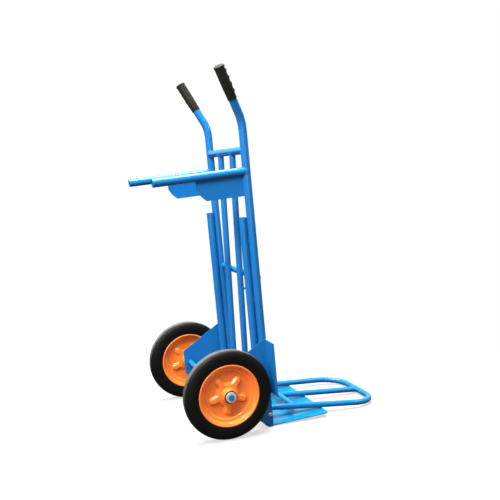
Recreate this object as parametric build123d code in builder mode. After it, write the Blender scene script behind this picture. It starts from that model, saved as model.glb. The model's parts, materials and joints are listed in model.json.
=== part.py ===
"""Hand truck with two star-rim wheels, rear support arms and a folding toe extension. Millimetres.

The parts are drawn in the truck's own axes: X across (+X is the user's left), +Y to the rear,
+Z up along the uprights, with Z = 0 under the toe plate. The truck stands on its two wheels and on the
heel of the toe plate, which makes it lean back a few degrees. settle() turns every part by that lean
and sets the middle of the whole box, at floor level, on the origin.
"""
import os
from math import asin, atan2, cos, degrees, hypot, radians, sin

from build123d import *

os.makedirs("parts", exist_ok=True)

# wheels and axle
wheel_r = 150.0
wheel_x = 248.0          # middle of the wheel to the middle of the truck
axle_y, axle_z = 156.0, 160.0
axle_r = 10.0
axle_half = 290.0
axle_chamfer = 1.2
bearing_r, bearing_w = 19.0, 12.0
race_in, race_out, race_depth = 13.0, 16.5, 0.8
hub_r, hub_half, hub_wall = 22.0, 33.0, 6.5
rim_r, lip_u = 104.0, 21.5   # the rolled lip: its radius, and its distance from the middle of the wheel
tyre_half_w = 24.0
run_gap = 0.05           # radial running clearance
side_gap = 0.5           # end float of each wheel
collar_r, collar_w, collar_chamfer = 17.4, 6.0, 0.5
split_r = 2.0            # radius of the pin through each collar

# main tubes
wall = 2.0
cut_margin = 100.0       # how far cutting shapes run past what they cut
upright_x, upright_y, upright_r = 190.0, -2.0, 14.0
bend_z, bend_r, bend_deg, splay_deg = 1011.0, 122.0, 27.5, 30.0
grip_start, grip_end = 51.0, 164.0          # along the straight handle
grip_r, grip_flange_r, grip_cap = 16.2, 18.4, 4.0
finger_pitch, finger_width, finger_count, finger_depth = 23.0, 9.0, 4, 2.6
finger_first = 16.0      # from the open end of the grip to its first finger ridge
flange_w = 9.0
vent_r = 3.0
brace_x, brace_y, brace_r = 183.0, 24.6, 12.5
brace_bottom, brace_top = 32.0, 726.0
bar_x, bar_r = 64.0, 11.0
top_z, top_r = 945.5, 13.0
mid_y, mid_z, mid_r = -10.8, 518.0, 11.0
low_y, low_z, low_r = 26.0, 60.0, 12.5
cope_depth = 8.0         # how far a coped end reaches round its post
peg_z, peg_r, peg_len = 488.0, 4.0, 5.5

# rear support arms and their gussets
arm_z, arm_r, arm_drop_deg, arm_end_y = 877.0, 14.0, 1.7, 316.0
gusset_x, gusset_t = 188.0, 4.0
gusset_root_y, gusset_low = 6.0, 796.0
gusset_foot_y, gusset_foot_z = 142.0, 793.0
gusset_mid_y, gusset_mid_z = 162.0, 812.0
gusset_end_y, gusset_end_z = 174.0, 832.0
arm_start = 6.0          # arms begin this far behind the uprights' axes

# side plates and toe plate
plate_x, plate_t = 204.0, 3.0               # inner face of each side plate
front_y, heel_y = -10.0, 8.0
guard_x, guard_low, guard_top = 279.0, 126.0, 308.0
heel_rise_y, heel_rise_z = 34.0, 26.0
plate_back, plate_back_low, plate_back_high = 179.0, 118.0, 207.0
shoulder_y = 2.0         # where the sloping top edge meets the guard's height
fold_out, fold_in = 2.6, 2.0
toe_t, toe_front = 4.0, -223.3
toe_corner, toe_edge = 12.0, 1.2

# folding toe extension
pivot_y, pivot_z, pin_r = -2.0, 44.0, 5.0
head_r, head_t, head_round = 6.5, 3.5, 2.5
barrel_r, barrel_half = 8.0, 175.5
leg_r = 10.5
leg_root_x, leg_front_x, leg_reach, leg_bend = 132.0, 164.0, 449.0, 88.0
cross_at, cross_r = 118.0, 10.0

# the legs rest on the toe plate's front edge
rest_gap = 0.3
run_y, run_z = pivot_y - toe_front, pivot_z - toe_t
leg_drop = degrees(atan2(run_z, run_y) - asin((leg_r + rest_gap) / hypot(run_y, run_z)))

# the truck leans back until the wheels and the heel both touch the floor
lean = degrees(atan2(axle_z, axle_y - heel_y) - asin(wheel_r / hypot(axle_y - heel_y, axle_z)))

made = []


def keep(item, name):
    """Label a finished part and put it on the list that is written at the end."""
    item.label = name
    made.append(item)


def side_name(side):
    return "left" if side > 0 else "right"


def handle_plane(side):
    """The plane each upright bends in: straight up, and back with an outward splay."""
    s, c = sin(radians(splay_deg)), cos(radians(splay_deg))
    return Plane(origin=(side * upright_x, upright_y, 0), x_dir=(side * s, c, 0), z_dir=(c, -side * s, 0))


def across(y, z, x0=0.0):
    """A sketch plane square to the truck's X axis."""
    return Plane(origin=(x0, y, z), x_dir=(0, 1, 0), z_dir=(1, 0, 0))


def leg_plane():
    """The plane of the toe extension: X across, Y from the pivot towards its front."""
    a = radians(leg_drop)
    return Plane(origin=(0, pivot_y, pivot_z), x_dir=(1, 0, 0), z_dir=(0, sin(a), -cos(a)))


def rod(plane, r, length, both=False):
    """A plain round bar, used to cope one tube to another."""
    with BuildPart() as item:
        with BuildSketch(plane):
            Circle(r)
        extrude(amount=length, both=both)
    return item.part


upright_core = {}
for side in (-1, 1):
    place = Plane(origin=(side * upright_x, upright_y, toe_t), z_dir=(0, 0, 1))
    upright_core[side] = rod(place, upright_r, bend_z - toe_t)

# ---------------------------------------------------------------- uprights with bent handles
handle_at = {}
for side in (-1, 1):
    with BuildPart() as upright:
        with BuildLine(handle_plane(side)) as path:
            straight = Line((0, toe_t), (0, bend_z))
            bend = JernArc(start=(0, bend_z), tangent=(0, 1), radius=bend_r, arc_size=-bend_deg)
            handle = Line(bend @ 1, bend @ 1 + (bend % 1) * (grip_end - grip_cap))
        handle_at[side] = (handle @ 0, handle % 0)
        with BuildSketch(Plane(origin=path.line @ 0, z_dir=path.line % 0)):
            Circle(upright_r)
            Circle(upright_r - wall, mode=Mode.SUBTRACT)
        sweep(path=path.line)
        with BuildSketch(across(pivot_y, pivot_z)):
            Circle(pin_r + run_gap)
        extrude(amount=side * (upright_x + cut_margin), mode=Mode.SUBTRACT)
    keep(upright.part, f"{side_name(side)}_upright")

# ---------------------------------------------------------------- hand grips
for side in (-1, 1):
    start, along = handle_at[side]
    base = Plane(origin=start + along * grip_start, x_dir=(0, -1, 0), z_dir=along)
    length = grip_end - grip_start
    with BuildPart() as grip:
        with BuildSketch(Plane(base.origin, x_dir=base.x_dir, z_dir=-base.y_dir)):
            with BuildLine():
                side_line = Line((grip_r, 0), (grip_r, length - flange_w))
                flange = ThreePointArc(side_line @ 1, (grip_flange_r, length - flange_w / 2),
                                       (grip_r, length))
                Polyline(flange @ 1, (0, length), (0, 0), side_line @ 0)
            make_face()
        revolve(axis=Axis(base.origin, base.z_dir))
        for k in range(finger_count):
            with BuildSketch(base.offset(finger_first + finger_pitch * k)):
                with Locations((finger_depth, 0)):
                    Circle(grip_r - 0.2)
            extrude(amount=finger_width)
        with BuildSketch(base):
            Circle(upright_r + run_gap)
        extrude(amount=length - grip_cap + run_gap, mode=Mode.SUBTRACT)
        with BuildSketch(base.offset(length)):
            Circle(vent_r)
        extrude(amount=-2 * grip_cap, mode=Mode.SUBTRACT)
    keep(grip.part, f"{side_name(side)}_grip")

# ---------------------------------------------------------------- brace tubes behind the uprights
for side in (-1, 1):
    with BuildPart() as brace:
        with BuildSketch(Plane(origin=(side * brace_x, brace_y, brace_bottom), z_dir=(0, 0, 1))):
            Circle(brace_r)
            Circle(brace_r - wall, mode=Mode.SUBTRACT)
        extrude(amount=brace_top - brace_bottom)
    keep(brace.part, f"{side_name(side)}_brace_tube")

# small peg on the right brace tube
peg_root = Vector(-brace_x, brace_y, peg_z)
peg_dir = Vector(0.33, 0.94, 0).normalized()
with BuildPart() as peg:
    with BuildSketch(Plane(origin=peg_root, z_dir=peg_dir)):
        Circle(peg_r)
    extrude(amount=brace_r + peg_len)
    fillet(peg.faces().sort_by(Axis(peg_root, peg_dir))[-1].edges(), 1.5)
    with BuildSketch(Plane(origin=peg_root, z_dir=(0, 0, 1))):
        Circle(brace_r)
    extrude(amount=cut_margin, both=True, mode=Mode.SUBTRACT)
keep(peg.part, "tie_peg")

# ---------------------------------------------------------------- crossbars and inner bars


def crossbar(y, z, r, ends):
    """A cross tube from side to side, coped to the two round posts it meets."""
    with BuildPart() as bar:
        with BuildSketch(across(y, z)):
            Circle(r)
            Circle(r - wall, mode=Mode.SUBTRACT)
        extrude(amount=upright_x, both=True)
        for side in (-1, 1):
            post_x, post_y, post_r = ends
            with BuildSketch(Plane(origin=(side * post_x, post_y, z), z_dir=(0, 0, 1))):
                Circle(post_r)
            extrude(amount=cut_margin, both=True, mode=Mode.SUBTRACT)
            with BuildSketch(across(y, z, side * (post_x - cope_depth))):
                Circle(2 * r)
            extrude(amount=side * cut_margin, mode=Mode.SUBTRACT)
    return bar.part


keep(crossbar(upright_y, top_z, top_r, (upright_x, upright_y, upright_r)), "top_crossbar")
keep(crossbar(mid_y, mid_z, mid_r, (upright_x, upright_y, upright_r)), "middle_crossbar")
keep(crossbar(low_y, low_z, low_r, (brace_x, brace_y, brace_r)), "bottom_crossbar")

bar_from, bar_to = Vector(0, low_y, low_z), Vector(0, upright_y, top_z)
for side in (-1, 1):
    foot = bar_from + Vector(side * bar_x, 0, 0)
    with BuildPart() as inner_bar:
        with BuildSketch(Plane(origin=foot, z_dir=bar_to - bar_from)):
            Circle(bar_r)
            Circle(bar_r - wall, mode=Mode.SUBTRACT)
        extrude(amount=(bar_to - bar_from).length)
        with BuildSketch(across(low_y, low_z)):
            Circle(low_r)
        extrude(amount=cut_margin, both=True, mode=Mode.SUBTRACT)
        with BuildSketch(across(upright_y, top_z)):
            Circle(top_r)
        extrude(amount=cut_margin, both=True, mode=Mode.SUBTRACT)
    keep(inner_bar.part, f"{side_name(side)}_inner_bar")

# ---------------------------------------------------------------- rear support arms and gussets
arm_dir = Vector(0, cos(radians(arm_drop_deg)), -sin(radians(arm_drop_deg)))
arm_len = (arm_end_y - upright_y) / cos(radians(arm_drop_deg))
for side in (-1, 1):
    root = Vector(side * upright_x, upright_y, arm_z)
    with BuildPart() as arm:
        with BuildSketch(Plane(origin=root + arm_dir * arm_start, z_dir=arm_dir)):
            Circle(arm_r)
            Circle(arm_r - wall, mode=Mode.SUBTRACT)
        extrude(amount=arm_len - arm_start)
        add(upright_core[side], mode=Mode.SUBTRACT)
    keep(arm.part, f"{side_name(side)}_support_arm")

    with BuildPart() as gusset:
        with BuildSketch(across(0, 0, side * gusset_x)):
            with BuildLine():
                Polyline((gusset_root_y, gusset_low), (gusset_foot_y, gusset_foot_z))
                ThreePointArc((gusset_foot_y, gusset_foot_z), (gusset_mid_y, gusset_mid_z),
                              (gusset_end_y, gusset_end_z))
                Polyline((gusset_end_y, gusset_end_z), (gusset_end_y, arm_z), (gusset_root_y, arm_z),
                         (gusset_root_y, gusset_low))
            make_face()
        extrude(amount=gusset_t / 2, both=True)
        add(upright_core[side], mode=Mode.SUBTRACT)
        add(rod(Plane(origin=root, z_dir=arm_dir), arm_r, arm_len), mode=Mode.SUBTRACT)
        with BuildSketch(across(0, 0, side * gusset_x)):
            with Locations((arm_end_y / 2, arm_z + cut_margin / 2)):
                Rectangle(2 * arm_end_y, cut_margin)
        extrude(amount=gusset_t, both=True, mode=Mode.SUBTRACT)
    keep(gusset.part, f"{side_name(side)}_arm_gusset")

# ---------------------------------------------------------------- side plates with wheel guards
for side in (-1, 1):
    with BuildPart() as side_plate:
        with BuildSketch(across(0, 0, side * plate_x)):
            with BuildLine():
                Polyline((front_y, 0), (heel_y, 0), (heel_rise_y, heel_rise_z), (plate_back, plate_back_low),
                         (plate_back, plate_back_high), (shoulder_y, guard_top), (front_y, guard_top),
                         close=True)
            make_face()
        extrude(amount=side * plate_t)
        with BuildSketch(Plane(origin=(0, front_y, 0), x_dir=(1, 0, 0), z_dir=(0, -1, 0))):
            with BuildLine():
                fold, edge = side * plate_x, side * guard_x
                Polyline((fold, guard_low), (edge, guard_low), (edge, guard_top), (fold, guard_top),
                         close=True)
            make_face()
        extrude(amount=-plate_t)
        upright_edges = side_plate.edges().filter_by(Axis.Z)
        outer_fold = upright_edges.filter_by(lambda e: abs(e.center().Y - front_y) < 0.01
                                             and abs(abs(e.center().X) - plate_x) < 0.01)
        inner_fold = upright_edges.filter_by(lambda e: abs(e.center().Y - front_y - plate_t) < 0.01
                                             and abs(abs(e.center().X) - plate_x - plate_t) < 0.01)
        fillet(outer_fold, fold_out)
        fillet(inner_fold, fold_in)
        with BuildSketch(across(axle_y, axle_z)):
            Circle(axle_r)
        extrude(amount=side * (plate_x + cut_margin), mode=Mode.SUBTRACT)
        with BuildSketch(across(pivot_y, pivot_z)):
            Circle(pin_r + run_gap)
        extrude(amount=side * (plate_x + cut_margin), mode=Mode.SUBTRACT)
    keep(side_plate.part, f"{side_name(side)}_side_plate")

# ---------------------------------------------------------------- toe plate
with BuildPart() as toe_plate:
    with BuildSketch(Plane.XY):
        with Locations((0, (heel_y + toe_front) / 2)):
            Rectangle(2 * plate_x, heel_y - toe_front)
    extrude(amount=toe_t)
    fillet(toe_plate.edges().filter_by(Axis.Z).group_by(Axis.Y)[0], toe_corner)
    fillet(toe_plate.faces().sort_by(Axis.Y)[0].edges().filter_by(Axis.X), toe_edge)
keep(toe_plate.part, "toe_plate")

# ---------------------------------------------------------------- axle, spacers and collars
collar_x = wheel_x + hub_half + side_gap
split_x = collar_x + collar_w / 2
with BuildPart() as axle:
    with BuildSketch(across(axle_y, axle_z)):
        Circle(axle_r)
    extrude(amount=axle_half, both=True)
    chamfer(axle.edges().group_by(Axis.X)[0] + axle.edges().group_by(Axis.X)[-1], axle_chamfer)
    for side in (-1, 1):
        with BuildSketch(Plane(origin=(side * split_x, axle_y, axle_z), z_dir=(0, 0, 1))):
            Circle(split_r)
        extrude(amount=2 * axle_r, both=True, mode=Mode.SUBTRACT)
keep(axle.part, "axle")

for side in (-1, 1):
    gap_from, gap_to = plate_x + plate_t, wheel_x - hub_half - side_gap
    with BuildPart() as spacer:
        with BuildSketch(across(axle_y, axle_z, side * gap_from)):
            Circle(collar_r)
            Circle(axle_r + run_gap, mode=Mode.SUBTRACT)
        extrude(amount=side * (gap_to - gap_from))
    keep(spacer.part, f"{side_name(side)}_axle_spacer")

    split_plane = Plane(origin=(side * split_x, axle_y, axle_z), z_dir=(0, 0, 1))
    with BuildPart() as collar:
        with BuildSketch(across(axle_y, axle_z, side * collar_x)):
            Circle(collar_r)
        extrude(amount=side * collar_w)
        chamfer(collar.edges(), collar_chamfer)
        with BuildSketch(across(axle_y, axle_z, side * collar_x)):
            Circle(axle_r + run_gap)
        extrude(amount=side * collar_w, mode=Mode.SUBTRACT)
        with BuildSketch(split_plane):
            Circle(split_r)
        extrude(amount=2 * collar_r, both=True, mode=Mode.SUBTRACT)
    keep(collar.part, f"{side_name(side)}_axle_collar")

    with BuildPart() as collar_pin:
        with BuildSketch(split_plane):
            Circle(split_r)
        extrude(amount=collar_r - side_gap, both=True)
    keep(collar_pin.part, f"{side_name(side)}_collar_pin")

# ---------------------------------------------------------------- wheels


def wheel_plane(side):
    """Sketch plane for the wheel's section: X outwards along the axle, Y up from the axle."""
    return Plane(origin=(side * wheel_x, axle_y, axle_z), x_dir=(side, 0, 0), z_dir=(0, -side, 0))


axle_line = Axis((0, axle_y, axle_z), (1, 0, 0))
# half sections, as (outwards from the middle of the wheel, radius)
seat = [(0, 84), (3, 84), (8, 87), (12, 94), (17, 98), (19.5, rim_r), (lip_u, rim_r)]
dish = [
    seat[-1], (lip_u, 101), (18.8, 96.2), (12.5, 91), (10, 83.5), (4, 78.5), (4, 58), (14, 46), (15.4, 29),
    (29, 26), (30, hub_r), (27.5, hub_r), (27.5, 24), (12.8, 26.6), (11.6, 43.6), (2, 56), (0, 70), seat[0],
]
bends = [1, 2, 3, 3, 3, 6, 5, 3, 2, 0.5, 0.5, 0.8, 2.5, 5, 7, 6]


def in_half(points, turn):
    """Section points for the outer half of the wheel (turn 1) or the inner one (turn -1)."""
    return [(turn * u, r) for u, r in points]


for side in (-1, 1):
    name = side_name(side)
    with BuildPart() as tyre:
        with BuildSketch(wheel_plane(side)):
            with BuildLine():
                for turn in (1, -1):
                    Polyline(*in_half(seat, turn))
                    ThreePointArc(*in_half([seat[-1], (tyre_half_w, 121), (21.4, 137.5)], turn))
                    shoulder = ThreePointArc(*in_half([(21.4, 137.5), (16.5, 145), (9, 149)], turn))
                    Line(shoulder @ 1, (0, wheel_r))
            make_face()
        revolve(axis=axle_line)
    keep(tyre.part, f"{name}_tyre")

    for half, turn in (("outer", 1), ("inner", -1)):
        with BuildPart() as rim:
            with BuildSketch(wheel_plane(side)):
                with BuildLine():
                    Polyline(*in_half(seat, turn))
                    FilletPolyline(*in_half(dish, turn), radius=bends)
                make_face()
            revolve(axis=axle_line)
        keep(rim.part, f"{name}_rim_{half}")

    with BuildPart() as hub:
        with BuildSketch(across(axle_y, axle_z, side * wheel_x)):
            Circle(hub_r)
            Circle(hub_r - hub_wall, mode=Mode.SUBTRACT)
        extrude(amount=hub_half, both=True)
        for end in (-1, 1):
            with BuildSketch(across(axle_y, axle_z, side * wheel_x + end * (hub_half - bearing_w))):
                Circle(bearing_r)
            extrude(amount=end * bearing_w, mode=Mode.SUBTRACT)
    keep(hub.part, f"{name}_hub")

    for half, turn in (("outer", 1), ("inner", -1)):
        start = side * (wheel_x + turn * (hub_half - bearing_w))
        with BuildPart() as bearing:
            with BuildSketch(across(axle_y, axle_z, start)):
                Circle(bearing_r)
                Circle(axle_r + run_gap, mode=Mode.SUBTRACT)
            extrude(amount=side * turn * bearing_w)
            with BuildSketch(across(axle_y, axle_z, start + side * turn * (bearing_w - race_depth))):
                Circle(race_out)
                Circle(race_in, mode=Mode.SUBTRACT)
            extrude(amount=side * turn * bearing_w, mode=Mode.SUBTRACT)
        keep(bearing.part, f"{name}_bearing_{half}")

# ---------------------------------------------------------------- folding toe extension
with BuildPart() as hinge_pin:
    with BuildSketch(across(pivot_y, pivot_z)):
        Circle(pin_r)
    extrude(amount=plate_x + plate_t + head_t / 2, both=True)
    for side in (-1, 1):
        with BuildSketch(across(pivot_y, pivot_z, side * (plate_x + plate_t))):
            Circle(head_r)
        extrude(amount=side * head_t)
    fillet(hinge_pin.edges().group_by(Axis.X)[0] + hinge_pin.edges().group_by(Axis.X)[-1], head_round)
keep(hinge_pin.part, "hinge_pin")

with BuildPart() as hinge_barrel:
    with BuildSketch(across(pivot_y, pivot_z)):
        Circle(barrel_r)
        Circle(pin_r + run_gap, mode=Mode.SUBTRACT)
    extrude(amount=barrel_half, both=True)
keep(hinge_barrel.part, "hinge_barrel")


def u_frame(inner_r):
    with BuildPart() as item:
        with BuildLine(leg_plane()) as path:
            FilletPolyline((-leg_root_x, 0), (-leg_front_x, leg_reach), (leg_front_x, leg_reach),
                           (leg_root_x, 0), radius=leg_bend)
        with BuildSketch(Plane(origin=path.line @ 0, z_dir=path.line % 0)):
            Circle(leg_r)
            if inner_r:
                Circle(inner_r, mode=Mode.SUBTRACT)
        sweep(path=path.line)
        with BuildSketch(across(pivot_y, pivot_z)):
            Circle(barrel_r)
        extrude(amount=barrel_half, both=True, mode=Mode.SUBTRACT)
    return item.part


keep(u_frame(leg_r - wall), "u_tube")
u_solid = u_frame(0)
cross_middle = leg_plane().from_local_coords((0, cross_at, 0))

with BuildPart() as cross_tube:
    with BuildSketch(Plane(origin=cross_middle, x_dir=(0, 1, 0), z_dir=(1, 0, 0))):
        Circle(cross_r)
        Circle(cross_r - wall, mode=Mode.SUBTRACT)
    extrude(amount=leg_root_x + leg_r / 2, both=True)
    add(u_solid, mode=Mode.SUBTRACT)
keep(cross_tube.part.solids().sort_by(SortBy.VOLUME)[-1], "extension_cross_tube")

with BuildPart() as middle_leg:
    with BuildSketch(Plane(origin=cross_middle, x_dir=(1, 0, 0), z_dir=leg_plane().y_dir)):
        Circle(leg_r)
        Circle(leg_r - wall, mode=Mode.SUBTRACT)
    extrude(amount=leg_reach - cross_at)
    add(u_solid, mode=Mode.SUBTRACT)
    with BuildSketch(Plane(origin=cross_middle, x_dir=(0, 1, 0), z_dir=(1, 0, 0))):
        Circle(cross_r)
    extrude(amount=cross_at, both=True, mode=Mode.SUBTRACT)
keep(middle_leg.part.solids().sort_by(SortBy.VOLUME)[-1], "middle_leg")

# ---------------------------------------------------------------- settle on the floor and write


def settle(items):
    """Lean every part back and put the middle of the whole box, at floor level, on the origin."""
    turned = [Rotation(-lean, 0, 0) * item for item in items]
    boxes = [item.bounding_box() for item in turned]
    low = [min(getattr(b.min, a) for b in boxes) for a in "XYZ"]
    high = [max(getattr(b.max, a) for b in boxes) for a in "XYZ"]
    shift = Pos(-(low[0] + high[0]) / 2, -(low[1] + high[1]) / 2, -low[2])
    print("lean", round(lean, 4), "leg drop", round(leg_drop, 4))
    print("shift", [round(v, 4) for v in shift.position])
    print("size", [round(h - l, 2) for l, h in zip(low, high)])
    return [shift * item for item in turned]


for item, source in zip(settle(made), made):
    item.label = source.label
    export_step(item, f"parts/{item.label}.step")
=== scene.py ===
import json
import math

import bmesh
import bpy
import numpy as np
from mathutils import Matrix, Vector


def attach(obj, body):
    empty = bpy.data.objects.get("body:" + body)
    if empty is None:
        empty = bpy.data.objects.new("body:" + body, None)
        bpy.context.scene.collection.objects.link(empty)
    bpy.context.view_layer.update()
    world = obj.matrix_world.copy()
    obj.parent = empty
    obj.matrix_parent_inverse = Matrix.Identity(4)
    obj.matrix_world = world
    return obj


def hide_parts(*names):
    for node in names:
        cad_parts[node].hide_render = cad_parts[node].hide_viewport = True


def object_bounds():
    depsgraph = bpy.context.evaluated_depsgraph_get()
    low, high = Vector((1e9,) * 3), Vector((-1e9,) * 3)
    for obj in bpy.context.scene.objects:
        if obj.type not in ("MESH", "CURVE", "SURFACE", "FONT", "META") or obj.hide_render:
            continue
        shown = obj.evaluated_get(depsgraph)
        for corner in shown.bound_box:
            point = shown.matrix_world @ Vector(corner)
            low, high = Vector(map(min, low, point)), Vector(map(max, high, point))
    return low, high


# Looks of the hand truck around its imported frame, in metres.
# Shapes of the frame are worked out in the truck's own axes: x across to the user's left, y to the rear,
# z up along the uprights, with zero under the toe plate. Shapes of a wheel are worked out around its joint.

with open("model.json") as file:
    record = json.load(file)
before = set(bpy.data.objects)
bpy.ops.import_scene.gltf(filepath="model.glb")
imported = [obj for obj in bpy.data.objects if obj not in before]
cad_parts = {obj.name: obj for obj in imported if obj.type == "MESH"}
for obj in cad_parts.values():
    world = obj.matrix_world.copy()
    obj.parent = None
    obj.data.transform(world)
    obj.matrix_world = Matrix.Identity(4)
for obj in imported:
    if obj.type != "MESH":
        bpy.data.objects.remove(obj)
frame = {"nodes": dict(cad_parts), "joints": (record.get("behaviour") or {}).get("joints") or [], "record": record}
cad_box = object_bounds()

MM = 0.001
SIDES = {"left": 1, "right": -1}
record = frame["record"]
joints = {joint["name"]: joint for joint in frame["joints"]}

# the truck's axes, from the mount under the toe plate and the fold joint
up = -Vector(next(m["axis"] for m in record["mounts"] if m["name"] == "toe_plate_underside"))
across = Vector((1, 0, 0))
rear = up.cross(across)
FOLD_PIVOT = Vector((0, -2, 44)) * MM
TRUCK = Matrix((across, rear, up)).transposed().to_4x4()
TRUCK.translation = Vector(joints["toe_extension_fold"]["pos_m"]) - TRUCK.to_3x3() @ FOLD_PIVOT
WHEEL = {side: Vector(joints[f"{side}_wheel_spin"]["pos_m"]) for side in SIDES}


def in_truck(node):
    """A CAD node's mesh points, in the truck's axes."""
    back = np.array(TRUCK.inverted())
    points = np.array([v.co for v in frame["nodes"][node].data.vertices])
    return points @ back[:3, :3].T + back[:3, 3]


# ------------------------------------------------------------------ materials


class Shading:
    """One material: a Principled shader and the few node shapes that all the finishes are made from."""

    def __init__(self, name, **constants):
        self.material = bpy.data.materials.new(name)
        self.material.use_nodes = True
        self.tree = self.material.node_tree
        self.shader = self.tree.nodes["Principled BSDF"]
        self.place = self.node("ShaderNodeTexCoord").outputs["Object"]
        for key, value in constants.items():
            self.shader.inputs[key.replace("_", " ")].default_value = value

    def node(self, kind, **inputs):
        made = self.tree.nodes.new(kind)
        for key, value in inputs.items():
            socket = made.inputs[key.replace("_", " ")]
            if isinstance(value, bpy.types.NodeSocket):
                self.tree.links.new(value, socket)
            else:
                socket.default_value = value
        return made

    def noise(self, scale, detail=3.0, roughness=0.55, distortion=0.0, place=None):
        made = self.node("ShaderNodeTexNoise", Vector=place or self.place, Scale=scale, Detail=detail,
                         Roughness=roughness, Distortion=distortion)
        return made.outputs["Fac"]

    def stretched(self, factors):
        """Object coordinates multiplied along each axis, for grain that runs one way."""
        made = self.node("ShaderNodeMapping", Vector=self.place, Scale=factors)
        return made.outputs["Vector"]

    def ranged(self, value, low, high, start=0.3, end=0.7):
        """Value from start to end becomes low to high."""
        made = self.node("ShaderNodeMapRange", Value=value)
        for key, number in (("From Min", start), ("From Max", end), ("To Min", low), ("To Max", high)):
            made.inputs[key].default_value = number
        return made.outputs["Result"]

    def mixed(self, factor, first, second, blend="MIX"):
        made = self.tree.nodes.new("ShaderNodeMix")
        made.data_type = "RGBA"
        made.blend_type = blend
        for index, value in ((0, factor), (6, first), (7, second)):
            if isinstance(value, bpy.types.NodeSocket):
                self.tree.links.new(value, made.inputs[index])
            elif index == 0:
                made.inputs[index].default_value = value
            else:
                made.inputs[index].default_value = (*value, 1)
        return made.outputs[2]

    def math(self, operation, first, second):
        made = self.tree.nodes.new("ShaderNodeMath")
        made.operation = operation
        for index, value in enumerate((first, second)):
            if isinstance(value, bpy.types.NodeSocket):
                self.tree.links.new(value, made.inputs[index])
            else:
                made.inputs[index].default_value = value
        return made.outputs[0]

    def facing(self, axis):
        """One part of the surface's normal, from -1 to 1."""
        normal = self.node("ShaderNodeNewGeometry").outputs["Normal"]
        return self.node("ShaderNodeSeparateXYZ", Vector=normal).outputs[axis]

    def upward(self):
        """1 where the surface faces the sky, 0 where it faces sideways or down."""
        return self.ranged(self.facing("Z"), 0.0, 1.0, 0.15, 0.85)

    def bump(self, height, distance, strength=1.0, under=None):
        made = self.node("ShaderNodeBump", Height=height, Distance=distance, Strength=strength)
        if under is not None:
            self.tree.links.new(under, made.inputs["Normal"])
        return made.outputs["Normal"]

    def to(self, key, value):
        self.tree.links.new(value, self.shader.inputs[key])


def enamel(name, colour, deep, sky, under, roughness, coat):
    """Gloss enamel over steel: a slight drift of shade, with painted light (the sky colour, paler, where it faces
    up) and painted shade (the under colour, deeper, where it faces the ground), orange peel and a little fine dust
    on top."""
    made = Shading(name, IOR=1.45, Specular_IOR_Level=0.15, Coat_Weight=coat, Coat_Roughness=0.04)
    drift = made.ranged(made.noise(5.0, 2.0), 0.0, 1.0)
    # painted shade: the under colour is mixed in where the surface faces the ground, and painted light: the sky
    # colour where it faces up
    low = made.ranged(made.facing("Z"), 1.0, 0.0, -0.85, -0.05)
    shade = made.mixed(made.upward(), made.mixed(low, made.mixed(drift, colour, deep), under), sky)
    dust = made.math("MULTIPLY", made.upward(), made.ranged(made.noise(90.0, 6.0, 0.7), 0.0, 0.01, 0.5, 0.8))
    made.to("Base Color", made.mixed(dust, shade, (0.55, 0.60, 0.66)))
    smear = made.ranged(made.noise(38.0, 5.0, 0.65), roughness - 0.05, roughness + 0.08)
    made.to("Roughness", made.math("ADD", smear, dust))
    waves = made.bump(made.noise(30.0, 1.0), 0.00022)
    made.to("Normal", made.bump(made.noise(420.0, 2.0), 0.000006, under=waves))
    return made.material


def rubber(name, colour, worn, roughness, grain, grain_depth, tread=0.0):
    """Moulded rubber: fine grain, a dusty bloom in patches and on top, and on a tread a pale mix that is partly
    wear and partly painted sheen, paler where it faces up.
    """
    made = Shading(name, IOR=1.5, Sheen_Weight=0.02, Sheen_Roughness=0.4, Specular_IOR_Level=0.12)
    bloom = made.ranged(made.noise(16.0, 5.0, 0.65), 0.0, 0.35, 0.42, 0.75)
    dust = made.math("MULTIPLY", made.upward(), made.ranged(made.noise(70.0, 5.0, 0.7), 0.05, 0.25))
    shade = made.mixed(made.math("ADD", bloom, dust), colour, worn)
    sideways = made.math("ABSOLUTE", made.facing("X"), 0.0)
    scuffed = made.math("MULTIPLY", made.ranged(sideways, tread, 0.0, 0.25, 0.6),
                        made.ranged(made.noise(35.0, 5.0, 0.7), 0.6, 1.0))
    # painted sheen on the tread: the pale worn mix grows where the tread faces up, standing in for light falling
    # on it
    tread_wear_and_sheen = made.math("MULTIPLY", scuffed, made.ranged(made.facing("Z"), 0.2, 1.0, -0.1, 0.6))
    made.to("Base Color", made.mixed(tread_wear_and_sheen, shade, (0.26, 0.255, 0.240)))
    made.to("Roughness", made.ranged(made.noise(45.0, 5.0, 0.6), roughness - 0.07, roughness + 0.09))
    soft = made.bump(made.noise(60.0, 2.0), 0.0004)
    made.to("Normal", made.bump(made.noise(grain, 3.0, 0.6), grain_depth, under=soft))
    return made.material


def metal(name, colour, tarnish, roughness, grain, shine):
    """Bare or plated steel: a drawn grain along grain's short axis, cloudy plating and a little tarnish."""
    made = Shading(name, Metallic=shine)
    cloud = made.ranged(made.noise(45.0, 5.0, 0.65), 0.0, 1.0)
    made.to("Base Color", made.mixed(cloud, colour, tarnish))
    lines = made.noise(60.0, 3.0, 0.6, place=made.stretched(grain))
    made.to("Roughness", made.ranged(lines, roughness - 0.08, roughness + 0.12))
    made.to("Normal", made.bump(lines, 0.00010))
    return made.material


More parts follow.
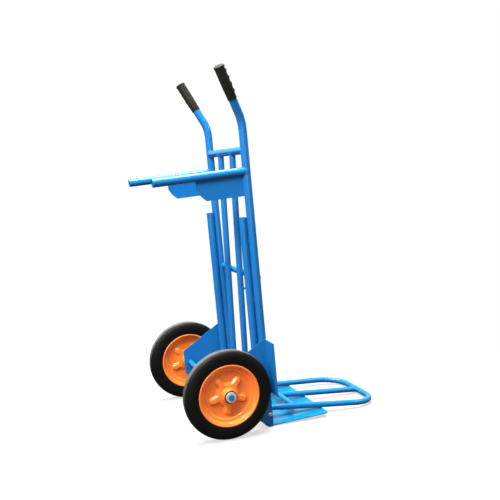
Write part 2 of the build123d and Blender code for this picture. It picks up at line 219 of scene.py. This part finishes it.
FINISH = {
    # enamel colours in order: base, drift, painted light for upward faces, painted shade for downward faces
    "blue_enamel": enamel("blue_enamel", (0.011, 0.150, 0.430), (0.007, 0.134, 0.385), (0.0, 0.172, 0.350),
                          (0.007, 0.080, 0.240), 0.30, 0.5),
    "orange_enamel": enamel("orange_enamel", (0.960, 0.225, 0.030), (0.940, 0.195, 0.022), (0.96, 0.29, 0.04),
                            (0.930, 0.125, 0.015), 0.24, 1.0),
    "tyre_rubber": rubber("tyre_rubber", (0.0030, 0.0030, 0.0026), (0.008, 0.008, 0.0065), 0.42,
                          900.0, 0.00005, 0.6),
    "grip_rubber": rubber("grip_rubber", (0.0130, 0.0115, 0.0080), (0.028, 0.024, 0.017), 0.40,
                          650.0, 0.00006),
    "zinc_steel": metal("zinc_steel", (0.58, 0.53, 0.48), (0.48, 0.44, 0.40), 0.36, (9, 1, 1), 0.2),
    # dark bearing steel: partly the bearing's own colour, partly painted shade for the dark gap round the hub's
    # end
    "bearing_steel": metal("bearing_steel", (0.10, 0.08, 0.075), (0.05, 0.04, 0.035), 0.36, (9, 1, 1), 0.8),
    "dark_steel": metal("dark_steel", (0.10, 0.10, 0.11), (0.05, 0.05, 0.05), 0.45, (1, 1, 6), 0.8),
}


def finish_frame():
    """Give each CAD node the finish that the record names for it."""
    for part in record["subparts"]:
        mesh = frame["nodes"][part["node"]].data
        mesh.materials.clear()
        mesh.materials.append(FINISH[part["material_slot"]])


# ------------------------------------------------------------------ mesh tools


def smoothstep(low, high, value):
    t = np.clip((value - low) / (high - low), 0, 1)
    return t * t * (3 - 2 * t)


def rounded(corners, step=1.2):
    """Points round a closed outline of corners (u, v, radius), in millimetres, at most about a step apart."""
    points = []
    for i, (u, v, radius) in enumerate(corners):
        here = Vector((u, v))
        back = Vector(corners[i - 1][:2]) - here
        ahead = Vector(corners[(i + 1) % len(corners)][:2]) - here
        half = back.angle(ahead) / 2
        if radius == 0 or half > 1.56:
            arc = [here]
        else:
            reach = min(radius / math.tan(half), 0.49 * back.length, 0.49 * ahead.length)
            first, last = here + back.normalized() * reach, here + ahead.normalized() * reach
            middle = here + (back.normalized() + ahead.normalized()).normalized() * reach / math.cos(half)
            turn = math.pi - 2 * half
            count = max(3, math.ceil(turn * (first - middle).length / step))
            begin, finish = first - middle, last - middle
            way = math.copysign(turn, begin.x * finish.y - begin.y * finish.x)
            arc = [middle + Matrix.Rotation(way * k / count, 2) @ begin for k in range(count + 1)]
        if points:
            gap = arc[0] - points[-1]
            count = math.ceil(gap.length / step)
            points += [points[-1] + gap * k / count for k in range(1, count)]
        points += arc
    gap = points[0] - points[-1]
    count = math.ceil(gap.length / step)
    points += [points[-1] + gap * k / count for k in range(1, count)]
    return np.array(points)


def skin(rings, closed=True, wrapped=False):
    """Points and faces of a surface through rings of equal length. Closed rings join up on themselves, a
    wrapped surface joins its last ring to its first, and an unwrapped one gets flat ends."""
    rings = np.asarray(rings)
    count, size = rings.shape[:2]
    faces = []
    for i in range(count if wrapped else count - 1):
        j = (i + 1) % count
        for k in range(size if closed else size - 1):
            m = (k + 1) % size
            faces.append((i * size + k, i * size + m, j * size + m, j * size + k))
    if closed and not wrapped:
        faces.append(tuple(range(size))[::-1])
        faces.append(tuple(range((count - 1) * size, count * size)))
    return rings.reshape(-1, 3), faces


def joined(surfaces):
    """Several (points, faces) surfaces as one."""
    points, faces = [], []
    start = 0
    for some_points, some_faces in surfaces:
        points.append(some_points)
        faces += [tuple(start + index for index in face) for face in some_faces]
        start += len(some_points)
    return np.concatenate(points), faces


def piece(name, surface, slot, body, stands_for=(), crease=40.0):
    """A finished mesh object that rides on a body, with outward normals and creases only at real edges."""
    points, faces = surface
    mesh = bpy.data.meshes.new(name)
    mesh.from_pydata([tuple(p) for p in points], [], faces)
    obj = bpy.data.objects.new(name, mesh)
    bpy.context.scene.collection.objects.link(obj)
    work = bmesh.new()
    work.from_mesh(mesh)
    bmesh.ops.recalc_face_normals(work, faces=work.faces)
    work.to_mesh(mesh)
    work.free()
    mesh.shade_smooth()
    mesh.set_sharp_from_angle(angle=math.radians(crease))
    mesh.materials.append(FINISH[slot])
    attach(obj, body)
    if stands_for:
        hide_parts(*stands_for)
    return obj


def to_row(points):
    """Points in the truck's axes, moved to the row frame."""
    matrix = np.array(TRUCK)
    return np.asarray(points) @ matrix[:3, :3].T + matrix[:3, 3]


# ------------------------------------------------------------------ wheels

TURN_STEPS = 240
# sections are (outwards from the middle of the wheel, radius, corner radius), in millimetres
SEAT = [(0, 84, 0), (3, 84, 0), (8, 87, 0), (12, 94, 0), (17, 98, 0), (19.5, 104, 0)]
STAR_ARMS = 5
STAR_INNER, STAR_OUTER = 20.0, 55.0      # the middle line of each arm
STAR_FLAT, STAR_FOOT = 6.0, 15.5         # half widths of an arm's top and of its foot
STAR_PLATE, STAR_EDGE = 31.0, 45.0       # the round middle of the star: its flat and its foot
STAR_RISE = 8.5
# one side wall of a tyre, from the rim to the tread: out from the middle, radius, rounding
TYRE_WALL = [(21.4, 104.4, 0.4), (22.4, 108, 3), (23.2, 110.5, 1), (23.3, 112.5, 1), (24.0, 118, 9),
             (23.6, 128, 14), (22.0, 135.5, 12), (19.6, 140.6, 6), (19.3, 141.6, 0.4), (18.6, 142.3, 0.4),
             (15.8, 145.7, 5)]
TREAD_GROOVES = (4.2, 11.6)
GROOVE_WIDTH, GROOVE_DEPTH = 1.5, 1.6
STAR_TURN = {("right", 1): 52.5, ("right", -1): 24.0, ("left", 1): 40.0, ("left", -1): 62.0}


def turned(side, turn, section, shift=None):
    """A section turned round a wheel's axle. shift(radius, angle) moves points outwards along the axle."""
    rings = []
    direction = SIDES[side] * turn
    for angle in np.linspace(0, 2 * math.pi, TURN_STEPS, endpoint=False):
        out, radius = section[:, 0].copy(), section[:, 1]
        if shift is not None:
            out += shift(radius, angle)
        ring = np.stack([direction * out, -radius * math.cos(angle), radius * math.sin(angle)], axis=1)
        rings.append(ring * MM + np.array(WHEEL[side]))
    return skin(rings, wrapped=True)


def star(side, turn):
    """How far the pressed star rises at a radius and angle."""
    first = math.radians(STAR_TURN[side, turn])

    def rise(radius, angle):
        nearest = (angle - first + math.pi / STAR_ARMS) % (2 * math.pi / STAR_ARMS) - math.pi / STAR_ARMS
        along, aside = radius * math.cos(nearest), radius * math.sin(nearest)
        past = along - np.clip(along, STAR_INNER, STAR_OUTER)
        outside_arm = smoothstep(STAR_FLAT, STAR_FOOT, np.hypot(past, aside))
        return STAR_RISE * (1 - outside_arm * smoothstep(STAR_PLATE, STAR_EDGE, radius))

    return rise


def build_rim(side, turn, half):
    section = rounded(SEAT + [
        (22.8, 103.6, 1.7), (22.8, 99.6, 1.7), (20.6, 98.4, 0.8), (18.8, 95.0, 3.0), (11.0, 89.4, 8.0),
        (8.8, 81.4, 5.0), (3.8, 77.6, 7.0), (2.2, 66.2, 2.2),
        (2.2, 25.4, 2.2), (16.8, 24.4, 1.8), (19.2, 22.8, 0.4), (19.2, 22.05, 0),
        (0.2, 22.05, 0), (0, 62, 0),
    ])
    surface = turned(side, turn, section, star(side, turn))
    piece(f"{side}_rim_{half}_pressing", surface, "orange_enamel", f"{side}_wheel", [f"{side}_rim_{half}"])


def crown(out):
    """Radius of the tread at a distance from the middle of the tyre."""
    return 149.9 - 1.9 * (out / 13) ** 3


def build_tyre(side):
    half = list(TYRE_WALL)
    for middle in TREAD_GROOVES[::-1]:
        outer, inner = middle + GROOVE_WIDTH / 2, middle - GROOVE_WIDTH / 2
        half += [(outer, crown(outer), 0.5), (outer - 0.3, crown(outer) - GROOVE_DEPTH, 0.3),
                 (inner + 0.3, crown(inner) - GROOVE_DEPTH, 0.3), (inner, crown(inner), 0.5)]
    outside = half + [(-out, radius, r) for out, radius, r in reversed(half)]
    seat = SEAT[1:] + [(19.5, 104.2, 0)]
    inside = [(-out, radius, r) for out, radius, r in reversed(seat)] + [(0, 84, 0)] + seat
    surface = turned(side, 1, rounded(outside + inside))
    piece(f"{side}_tyre_moulding", surface, "tyre_rubber", f"{side}_wheel", [f"{side}_tyre"])


def build_shade_ring(side, turn, half):
    """A thin black ring over the end of the hub, round the bearing, that stands in for the shade in the gap there:
    painted shade.
    """
    section = rounded([(32.0, 17.7, 0), (33.3, 17.7, 0.2), (33.3, 21.2, 0.4), (32.6, 21.7, 0.3),
                       (32.0, 21.7, 0)], 0.5)
    piece(f"{side}_hub_shade_ring_{half}", turned(side, turn, section), "tyre_rubber", f"{side}_wheel")


def build_wheels():
    for side in SIDES:
        build_tyre(side)
        for half, turn in (("outer", 1), ("inner", -1)):
            build_rim(side, turn, half)
            build_shade_ring(side, turn, half)


# ------------------------------------------------------------------ hand grips

HANDLE_BEND, HANDLE_SPLAY = math.radians(27.5), math.radians(30)
GRIP_RINGS, GRIP_STEPS = 170, 96
GRIP_R, GRIP_MOUTH_R, GRIP_BORE, GRIP_FLANGE = 16.7, 15.4, 14.05, 3.4
FINGER_PITCH, FINGER_RIDGE = 23.0, 3.4
FINGER_FIRST = 21.0                      # the first ridge, back from the closed end
FINGER_TURN = {"left": 100.0, "right": 0.0}   # how far each sleeve is turned on its handle
VENT_R, VENT_DEPTH = 2.6, 3.0


def handle_axes(side):
    """Directions along a handle, to its finger side and across it, in the truck's axes."""
    lean = Vector((SIDES[side] * math.sin(HANDLE_SPLAY), math.cos(HANDLE_SPLAY), 0))
    along = lean * math.sin(HANDLE_BEND) + Vector((0, 0, 1)) * math.cos(HANDLE_BEND)
    fingers = Matrix.Rotation(math.radians(FINGER_TURN[side]), 3, along) @ -lean
    fingers = (fingers - along * along.dot(fingers)).normalized()
    return along, fingers, along.cross(fingers)


def build_grip(side):
    along, front, aside = handle_axes(side)
    points = in_truck(f"{side}_grip")
    places = points @ np.array(along)
    low, high = places.min(), places.max()
    end = points[places > high - 0.2 * MM]
    middle = (end.min(0) + end.max(0)) / 2
    base = Vector(middle) - along * (high - low)
    length = (high - low) / MM

    def radius(t, angle):
        """Outside radius at t from the open end; angle 0 faces the fingers."""
        back = length - t
        body = GRIP_MOUTH_R + (GRIP_R - GRIP_MOUTH_R) * smoothstep(0, 45, t)
        facing = smoothstep(-0.2, 0.85, math.cos(angle))
        flange = GRIP_FLANGE * smoothstep(-0.5, 4.0, back) * (1 - smoothstep(4.0, 10.0, back))
        ridge = (1 - abs(math.sin(math.pi * (back - FINGER_FIRST) / FINGER_PITCH))) ** 1.3
        held = smoothstep(9, 15, back) * (1 - smoothstep(length - 21, length - 12, back))
        return body + flange * (0.25 + 0.75 * facing) + facing * held * FINGER_RIDGE * ridge

    rows = []
    for t in np.linspace(0, length, GRIP_RINGS):
        edge = 1.6
        inset = edge - math.sqrt(max(0, edge ** 2 - max(0, t - (length - edge)) ** 2))
        inset += 0.8 - math.sqrt(max(0, 0.64 - max(0, 0.8 - t) ** 2))
        rows.append((t, -inset, None))
    rows += [(length, None, r) for r in np.linspace(GRIP_R - 2.2, VENT_R + 0.4, 8)]
    rows += [(length - 0.4, None, VENT_R), (length - VENT_DEPTH, None, VENT_R - 0.3)]
    rows += [(length - VENT_DEPTH, None, 0.2)]
    rows = [(2.0, None, GRIP_BORE), (0.0, None, GRIP_BORE), (0.0, None, GRIP_R - 0.2)] + rows
    rings = []
    for t, inset, fixed in rows:
        ring = []
        for angle in np.linspace(0, 2 * math.pi, GRIP_STEPS, endpoint=False):
            r = fixed if inset is None else radius(t, angle) + inset
            offset = front * math.cos(angle) + aside * math.sin(angle)
            ring.append(base + along * (t * MM) + offset * (r * MM))
        rings.append(ring)
    points, faces = skin([[tuple(p) for p in ring] for ring in rings])
    piece(f"{side}_grip_sleeve", (to_row(points), faces), "grip_rubber", "frame", [f"{side}_grip"])


# ------------------------------------------------------------------ tubes, as the welds see them


class Tube:
    """A round tube's middle line and radius, in the truck's axes and metres."""

    def __init__(self, start, end, radius):
        self.start, self.end, self.r = Vector(start), Vector(end), radius
        self.along = (self.end - self.start).normalized()

    def ring(self, angle):
        """A direction square to the tube."""
        first = self.along.orthogonal().normalized()
        return first * math.cos(angle) + self.along.cross(first) * math.sin(angle)


def straight(node, axis, keep=None):
    """The tube of a CAD node that runs along one truck axis (0, 1 or 2)."""
    points = in_truck(node)
    if keep is not None:
        points = points[keep(points)]
    low, high = points.min(0), points.max(0)
    middle = (low + high) / 2
    start, end = middle.copy(), middle.copy()
    start[axis], end[axis] = low[axis], high[axis]
    other = 2 if axis != 2 else 1
    return Tube(start, end, (high[other] - low[other]) / 2)


def measure_tubes():
    """Every straight tube that a weld meets."""
    tubes = {}
    for side, sign in SIDES.items():
        tubes[f"{side}_upright"] = straight(f"{side}_upright", 2, lambda p: p[:, 2] < 0.9)
        tubes[f"{side}_brace"] = straight(f"{side}_brace_tube", 2)
    for name in ("top", "middle", "bottom"):
        tubes[name] = straight(f"{name}_crossbar", 0)
    for side in SIDES:
        points = in_truck(f"{side}_inner_bar")
        x = (points[:, 0].min() + points[:, 0].max()) / 2
        radius = (points[:, 0].max() - points[:, 0].min()) / 2
        foot, head = tubes["bottom"].start.copy(), tubes["top"].start.copy()
        foot.x = head.x = x
        tubes[f"{side}_bar"] = Tube(foot, head, radius)
        points = in_truck(f"{side}_support_arm")
        end = points[points[:, 1] > points[:, 1].max() - MM]
        middle = (end.min(0) + end.max(0)) / 2
        radius = (end[:, 0].max() - end[:, 0].min()) / 2
        root = points[np.argmax(points[:, 2])]
        slope = (root[2] - end[:, 2].max()) / (end[:, 1].max() - root[1])
        behind = middle[1] - tubes[f"{side}_upright"].start.y
        start = (middle[0], tubes[f"{side}_upright"].start.y, middle[2] + slope * behind)
        tubes[f"{side}_arm"] = Tube(start, middle, radius)
    return tubes


# ------------------------------------------------------------------ welds

# sizes and places of the beads are in millimetres, in the truck's axes
BEAD_R, BEAD_PITCH, BEAD_SIDES = 2.1, 3.2, 10
GUSSET_BEAD_R, GUSSET_BEAD_FRONT, GUSSET_BEAD_BACK = 1.7, 22, 6
PLATE_BEAD_R, PLATE_BEAD_IN, PLATE_BEAD_BACK = 2.6, 1.2, 8
PLATE_BEAD_FEET, PLATE_BEAD_LENGTH = (40, 140, 240), 34
FOOT_BEAD_R, FOOT_RING = 2.0, (20, 340)
STITCH_R, STITCH_HEIGHTS, STITCH_HALF, STITCH_ASIDE = 2.9, (640, 442), 6, 2.6
MARK_R = 1.2
# the toe extension: its barrel, and the middle lines of its legs at the barrel, the front and the bends
BARREL_R, LEG_ROOT_X, LEG_FRONT_X, LEG_BEND = 8.0 * MM, 132.0 * MM, 164.0 * MM, 88.0 * MM
SEAM_R, BEND_MARK_Z = 1.9 * MM, 1008.0 * MM
FOLD_TURNS = [math.radians(a) for a in (24, 36, 49, 61, 70)]
FOLD_R, FOLD_SUNK, FOLD_REACH = 1.7, 0.7 * MM, math.radians(105)


def saddle(tube, post, sign, steps=220):
    """Points where a tube's surface enters a post, on the side that the tube leaves towards (sign)."""
    points = []
    for k in range(steps):
        start = tube.start + tube.ring(2 * math.pi * k / steps) * tube.r
        rel = start - post.start
        a = tube.along - post.along * tube.along.dot(post.along)
        b = rel - post.along * rel.dot(post.along)
        root = a.dot(b) ** 2 - a.length_squared * (b.length_squared - post.r ** 2)
        if root < 0:
            points.append(None)
        else:
            points.append(start + tube.along * ((-a.dot(b) + sign * math.sqrt(root)) / a.length_squared))
    if None not in points:
        return points, True
    first = next(k for k in range(steps) if points[k - 1] is None and points[k] is not None)
    turned_points = points[first:] + points[:first]
    return [p for p in turned_points if p is not None], False


def bead(path, looped, radius=BEAD_R):
    """A rippled weld bead along a path of points in the truck's axes."""
    path = [Vector(p) for p in path]
    dense = [path[0]]
    for point in path[1:] + ([path[0]] if looped else []):
        gap = point - dense[-1]
        count = max(1, round(gap.length / (0.8 * MM)))
        if gap.length > 0.4 * MM:
            start = dense[-1]
            dense += [start + gap * k / count for k in range(1, count + 1)]
    if looped:
        dense = dense[:-1]
    total = len(dense)
    run = [0.0]
    for k in range(1, total):
        run.append(run[-1] + (dense[k] - dense[k - 1]).length / MM)
    rings = []
    for k, here in enumerate(dense):
        before = dense[k - 1] if k or looped else here
        after = dense[(k + 1) % total] if k < total - 1 or looped else here
        along = (after - before).normalized()
        side = along.orthogonal().normalized() if k == 0 else None
        if side is None:
            side = (last_side - along * last_side.dot(along)).normalized()
        last_side = side
        other = along.cross(side)
        size = radius * (1 + 0.13 * math.cos(2 * math.pi * run[k] / BEAD_PITCH))
        if not looped:
            ends = min(run[k], run[-1] - run[k]) / (1.4 * radius)
            size *= 0.25 + 0.75 * math.sqrt(min(1.0, ends * (2 - min(1.0, ends))))
        ring = [here + (side * math.cos(a) + other * math.sin(a)) * (size * MM)
                for a in np.linspace(0, 2 * math.pi, BEAD_SIDES, endpoint=False)]
        rings.append([tuple(p) for p in ring])
    return skin(rings, wrapped=looped)


def welds(name, beads, body="frame"):
    points, faces = joined(beads)
    piece(name, (to_row(points), faces), "blue_enamel", body, crease=75.0)


def line(start, end):
    """A straight path between two points given in millimetres."""
    return [Vector(start) * MM, Vector(end) * MM]


def build_frame_welds(tubes):
    crossings, bars, arms, gussets, plates, stitches, seams, marks = ([] for _ in range(8))
    for side, sign in SIDES.items():
        for bar, post in (("top", "upright"), ("middle", "upright"), ("bottom", "brace")):
            crossings.append(bead(*saddle(tubes[bar], tubes[f"{side}_{post}"], -sign)))
        for bar, way in (("top", -1), ("bottom", 1)):
            bars.append(bead(*saddle(tubes[f"{side}_bar"], tubes[bar], way)))
        arm, upright, brace = (tubes[f"{side}_{n}"] for n in ("arm", "upright", "brace"))
        arms.append(bead(*saddle(arm, upright, 1)))
        gussets += gusset_beads(side, arm, upright)
        plates += plate_beads(side, upright)
        for height in STITCH_HEIGHTS:
            stitches += stitch_beads(upright, brace, height)
        seams.append(brace_seam(upright, brace))
        marks.append(bend_mark(upright, sign))
    welds("crossbar_welds", crossings)
    welds("inner_bar_welds", bars)
    welds("support_arm_welds", arms)
    welds("gusset_welds", gussets)
    welds("side_plate_welds", plates)
    welds("brace_stitch_welds", stitches)
    welds("brace_seams", seams)
    welds("handle_bend_marks", marks)


def build_extension_welds():
    """Beads where the tubes of the folding toe extension meet, and the folds inside its two bends."""
    frame_tube = in_truck("u_tube")
    off_middle = np.abs(frame_tube[:, 0])
    front = frame_tube[off_middle < off_middle.min() + MM]
    low, high = front.min(0), front.max(0)
    across_front = Vector((0, *((low + high) / 2)[1:]))
    leg_r = (high[2] - low[2]) / 2
    leg_way = (across_front - FOLD_PIVOT).normalized()
    bar = in_truck("extension_cross_tube")
    middle = Vector((0, *((bar.min(0) + bar.max(0)) / 2)[1:]))
    bar_r = (bar[:, 2].max() - bar[:, 2].min()) / 2
    sideways = Vector((1, 0, 0))
    leg = Tube(middle, across_front, leg_r)
    barrel = Tube(FOLD_PIVOT - sideways, FOLD_PIVOT + sideways, BARREL_R)
    beads = [bead(*saddle(leg, Tube(across_front - sideways, across_front + sideways, leg_r), -1))]
    beads.append(bead(*saddle(leg, Tube(middle - sideways, middle + sideways, bar_r), 1)))
    for sign in SIDES.values():
        root = FOLD_PIVOT + sideways * (sign * LEG_ROOT_X)
        tip = across_front + sideways * (sign * LEG_FRONT_X)
        side_leg = Tube(root, tip, leg_r)
        beads.append(bead(*saddle(Tube(middle, middle + sideways * sign, bar_r), side_leg, -1)))
        beads.append(bead(*saddle(side_leg, barrel, 1)))
        corner = tip - side_leg.along * LEG_BEND
        beads += bend_folds(corner - sideways * (sign * LEG_BEND), sideways * sign, leg_way, leg_r)
    welds("toe_extension_welds", beads, "toe_extension")


def bend_folds(centre, outward, onward, tube_r):
    """Small folds round the inside of a bend whose middle line turns about a centre."""
    square = outward.cross(onward).normalized()
    folds = []
    for turn in FOLD_TURNS:
        way = outward * math.cos(turn) + onward * math.sin(turn)
        middle = centre + way * LEG_BEND
        path = [middle + (square * math.sin(a) - way * math.cos(a)) * (tube_r - FOLD_SUNK)
                for a in np.linspace(-FOLD_REACH, FOLD_REACH, 40)]
        folds.append(bead(path, False, FOLD_R))
    return folds


def gusset_beads(side, arm, upright):
    """Beads along both faces of a gusset, under the arm and behind the upright."""
    box = in_truck(f"{side}_arm_gusset")
    low, high = box.min(0) / MM, box.max(0) / MM
    made = []
    for x in (low[0], high[0]):
        off = x - arm.start.x / MM
        below = math.sqrt((arm.r / MM) ** 2 - off ** 2)
        slope = arm.along.z / arm.along.y
        ends = []
        for y in (GUSSET_BEAD_FRONT, high[1] - GUSSET_BEAD_BACK):
            ends.append((x, y, arm.start.z / MM + slope * (y - arm.start.y / MM) - below))
        made.append(bead(line(*ends), False, GUSSET_BEAD_R))
        off = x - upright.start.x / MM
        y = upright.start.y / MM + math.sqrt((upright.r / MM) ** 2 - off ** 2)
        made.append(bead(line((x, y, low[2] + 8), (x, y, ends[0][2] - 6)), False, GUSSET_BEAD_R))
    return made


def plate_beads(side, upright):
    """Stitches between an upright and its side plate, and a ring round its foot on the toe plate."""
    sign = SIDES[side]
    inner = np.abs(in_truck(f"{side}_side_plate")[:, 0]).min() / MM
    made = []
    x = sign * (inner - PLATE_BEAD_IN)
    y = upright.start.y / MM + PLATE_BEAD_BACK
    for low in PLATE_BEAD_FEET:
        made.append(bead(line((x, y, low), (x, y, low + PLATE_BEAD_LENGTH)), False, PLATE_BEAD_R))
    centre = upright.start.copy()
    centre.z = in_truck("toe_plate")[:, 2].max()
    begin, finish = FOOT_RING if sign < 0 else (180 - FOOT_RING[0], 180 - FOOT_RING[1])
    ring = [centre + Vector((math.cos(a), math.sin(a), 0)) * upright.r
            for a in np.linspace(math.radians(begin), math.radians(finish), 120)]
    made.append(bead(ring, False, FOOT_BEAD_R))
    return made


def brace_seam(upright, brace):
    """The paint-filled line down the groove where a brace tube lies against its upright."""
    between = brace.start - upright.start
    between.z = 0
    line_at = upright.start + between * (upright.r / (upright.r + brace.r))
    wander = [1, -1, 0.4, -0.6, 0.9, -0.8, 0.2, 1, -0.4, -1, 0.7]
    heights = np.linspace(brace.start.z + 2 * MM, brace.end.z - 2 * MM, len(wander))
    rings = []
    for height, aside in zip(heights, wander):
        centre = Vector((line_at.x + aside * 0.1 * MM, line_at.y, height))
        rings.append([tuple(centre + Vector((math.cos(a), math.sin(a), 0)) * SEAM_R)
                      for a in np.linspace(0, 2 * math.pi, BEAD_SIDES, endpoint=False)])
    return skin(rings)


def bend_mark(upright, sign):
    """The raised mark that the bending tool leaves on the outside of each upright."""
    path = [Vector((upright.start.x + sign * math.cos(a) * (upright.r - FOLD_SUNK),
                    upright.start.y + math.sin(a) * (upright.r - FOLD_SUNK), BEND_MARK_Z))
            for a in np.linspace(math.radians(-10), math.radians(75), 30)]
    return bead(path, False, MARK_R)


def stitch_beads(upright, brace, height):
    """A short bead in the groove on each side between an upright and its brace tube."""
    between = brace.start - upright.start
    between.z = 0
    made = []
    sideways = Vector((between.y, -between.x, 0)).normalized()
    middle = upright.start + between * (upright.r / (upright.r + brace.r))
    for way in (-1, 1):
        point = (middle + sideways * (way * STITCH_ASIDE * MM)) / MM
        low, high = (point.x, point.y, height - STITCH_HALF), (point.x, point.y, height + STITCH_HALF)
        made.append(bead(line(low, high), False, STITCH_R))
    return made


# ------------------------------------------------------------------ floor, light and camera

CAMERA_PLACE = TRUCK @ Vector((-2.3952, 0.8039, 0.9193))
CAMERA_AZIMUTH, CAMERA_ELEVATION, CAMERA_ROLL = 249.51, 6.546, -1.73
CAMERA_LENS, CAMERA_SHIFT = 50.96, (-0.0076, 0.0106)


def build_camera():
    data = bpy.data.cameras.new("camera")
    data.sensor_width = 36.0
    data.lens = CAMERA_LENS
    data.shift_x, data.shift_y = CAMERA_SHIFT
    obj = bpy.data.objects.new("camera", data)
    bpy.context.scene.collection.objects.link(obj)
    turn, tilt = math.radians(CAMERA_AZIMUTH), math.radians(CAMERA_ELEVATION)
    forward = Vector((-math.sin(turn) * math.cos(tilt), math.cos(turn) * math.cos(tilt), -math.sin(tilt)))
    facing = forward.to_track_quat("-Z", "Y").to_matrix() @ Matrix.Rotation(math.radians(CAMERA_ROLL), 3, "Z")
    obj.matrix_world = Matrix.Translation(CAMERA_PLACE) @ facing.to_4x4()
    bpy.context.scene.camera = obj


def softbox(name, place, target, size, power):
    data = bpy.data.lights.new(name, "AREA")
    data.shape = "RECTANGLE"
    data.size, data.size_y = size
    data.energy = power
    obj = bpy.data.objects.new(name, data)
    obj.location = place
    obj.rotation_euler = (Vector(target) - Vector(place)).to_track_quat("-Z", "Y").to_euler()
    bpy.context.scene.collection.objects.link(obj)


# name, place, width and height in metres, and power in watts
SOFTBOXES = [
    ("overhead", (0.2, 0.1, 3.3), (2.4, 2.4), 350),
    ("key", (-1.4, 1.5, 2.6), (1.5, 0.4), 88),
    ("front", (-1.1, -1.9, 2.2), (0.9, 0.4), 8),
    ("rear", (-1.1, 2.6, 2.0), (0.5, 0.9), 50),
    ("side", (-3.0, 1.3, 0.8), (1.4, 1.4), 12),
]
# the white backdrop stands beyond the truck, and the room behind the camera is darker
BACKDROP_WAY, BACKDROP_LIT, BACKDROP_DIM = (0.85, -0.15, 0.5), 0.70, 0.12


def build_lights():
    middle = (cad_box[0] + cad_box[1]) / 2
    for name, place, size, power in SOFTBOXES:
        softbox(f"{name}_softbox", place, middle, size, power)
    world = bpy.data.worlds.new("studio")
    bpy.context.scene.world = world
    world.use_nodes = True
    tree = world.node_tree
    light = tree.nodes["Background"]
    place = tree.nodes.new("ShaderNodeTexCoord")
    lean = tree.nodes.new("ShaderNodeVectorMath")
    lean.operation = "DOT_PRODUCT"
    lean.inputs[1].default_value = BACKDROP_WAY
    ramp = tree.nodes.new("ShaderNodeMapRange")
    for key, number in (("From Min", -1.0), ("From Max", 1.0),
                        ("To Min", BACKDROP_DIM), ("To Max", BACKDROP_LIT)):
        ramp.inputs[key].default_value = number
    tree.links.new(place.outputs["Generated"], lean.inputs[0])
    tree.links.new(lean.outputs["Value"], ramp.inputs["Value"])
    tree.links.new(ramp.outputs["Result"], light.inputs["Strength"])
    light.inputs["Color"].default_value = (1, 1, 1, 1)
    shown = tree.nodes.new("ShaderNodeBackground")
    shown.inputs["Color"].default_value = (1, 1, 1, 1)
    path = tree.nodes.new("ShaderNodeLightPath")
    mix = tree.nodes.new("ShaderNodeMixShader")
    tree.links.new(path.outputs["Is Camera Ray"], mix.inputs["Fac"])
    tree.links.new(light.outputs["Background"], mix.inputs[1])
    tree.links.new(shown.outputs["Background"], mix.inputs[2])
    tree.links.new(mix.outputs["Shader"], tree.nodes["World Output"].inputs["Surface"])


FLOOR_REACH, FLOOR_NEAR, FLOOR_FAR = 30.0, 0.55, 1.5
FLOOR_SEEN, FLOOR_BOUNCE, FLOOR_GLOW = 0.45, 0.07, 0.62


def build_floor():
    """A pale floor that passes smoothly into the white background, and throws little light back up."""
    reach = FLOOR_REACH
    mesh = bpy.data.meshes.new("floor")
    mesh.from_pydata([(-reach, -reach, 0), (reach, -reach, 0), (reach, reach, 0), (-reach, reach, 0)], [],
                     [(0, 1, 2, 3)])
    floor = bpy.data.objects.new("floor", mesh)
    bpy.context.scene.collection.objects.link(floor)
    paint = Shading("floor_paint")
    tree = paint.tree
    near = paint.node("ShaderNodeBsdfDiffuse", Color=(FLOOR_SEEN, FLOOR_SEEN, FLOOR_SEEN, 1))
    bounce = paint.node("ShaderNodeBsdfDiffuse", Color=(FLOOR_BOUNCE, FLOOR_BOUNCE, FLOOR_BOUNCE, 1))
    far = paint.node("ShaderNodeEmission", Color=(1, 1, 1, 1))
    distance = paint.node("ShaderNodeVectorMath", Vector=paint.place)
    distance.operation = "LENGTH"
    fade = paint.ranged(distance.outputs["Value"], FLOOR_GLOW, 1.0, FLOOR_NEAR, FLOOR_FAR)
    seen = paint.node("ShaderNodeMixShader", Fac=fade)
    tree.links.new(near.outputs[0], seen.inputs[1])
    tree.links.new(far.outputs[0], seen.inputs[2])
    path = paint.node("ShaderNodeLightPath")
    whole = paint.node("ShaderNodeMixShader", Fac=path.outputs["Is Camera Ray"])
    tree.links.new(bounce.outputs[0], whole.inputs[1])
    tree.links.new(seen.outputs[0], whole.inputs[2])
    tree.links.new(whole.outputs[0], tree.nodes["Material Output"].inputs["Surface"])
    mesh.materials.append(paint.material)
    floor.location.z = min(0.0, cad_box[0].z) - 0.2 * MM


finish_frame()
build_wheels()
for each_side in SIDES:
    build_grip(each_side)
build_frame_welds(measure_tubes())
build_extension_welds()
build_floor()
build_lights()
build_camera()
bpy.context.scene.view_settings.view_transform = "Standard"
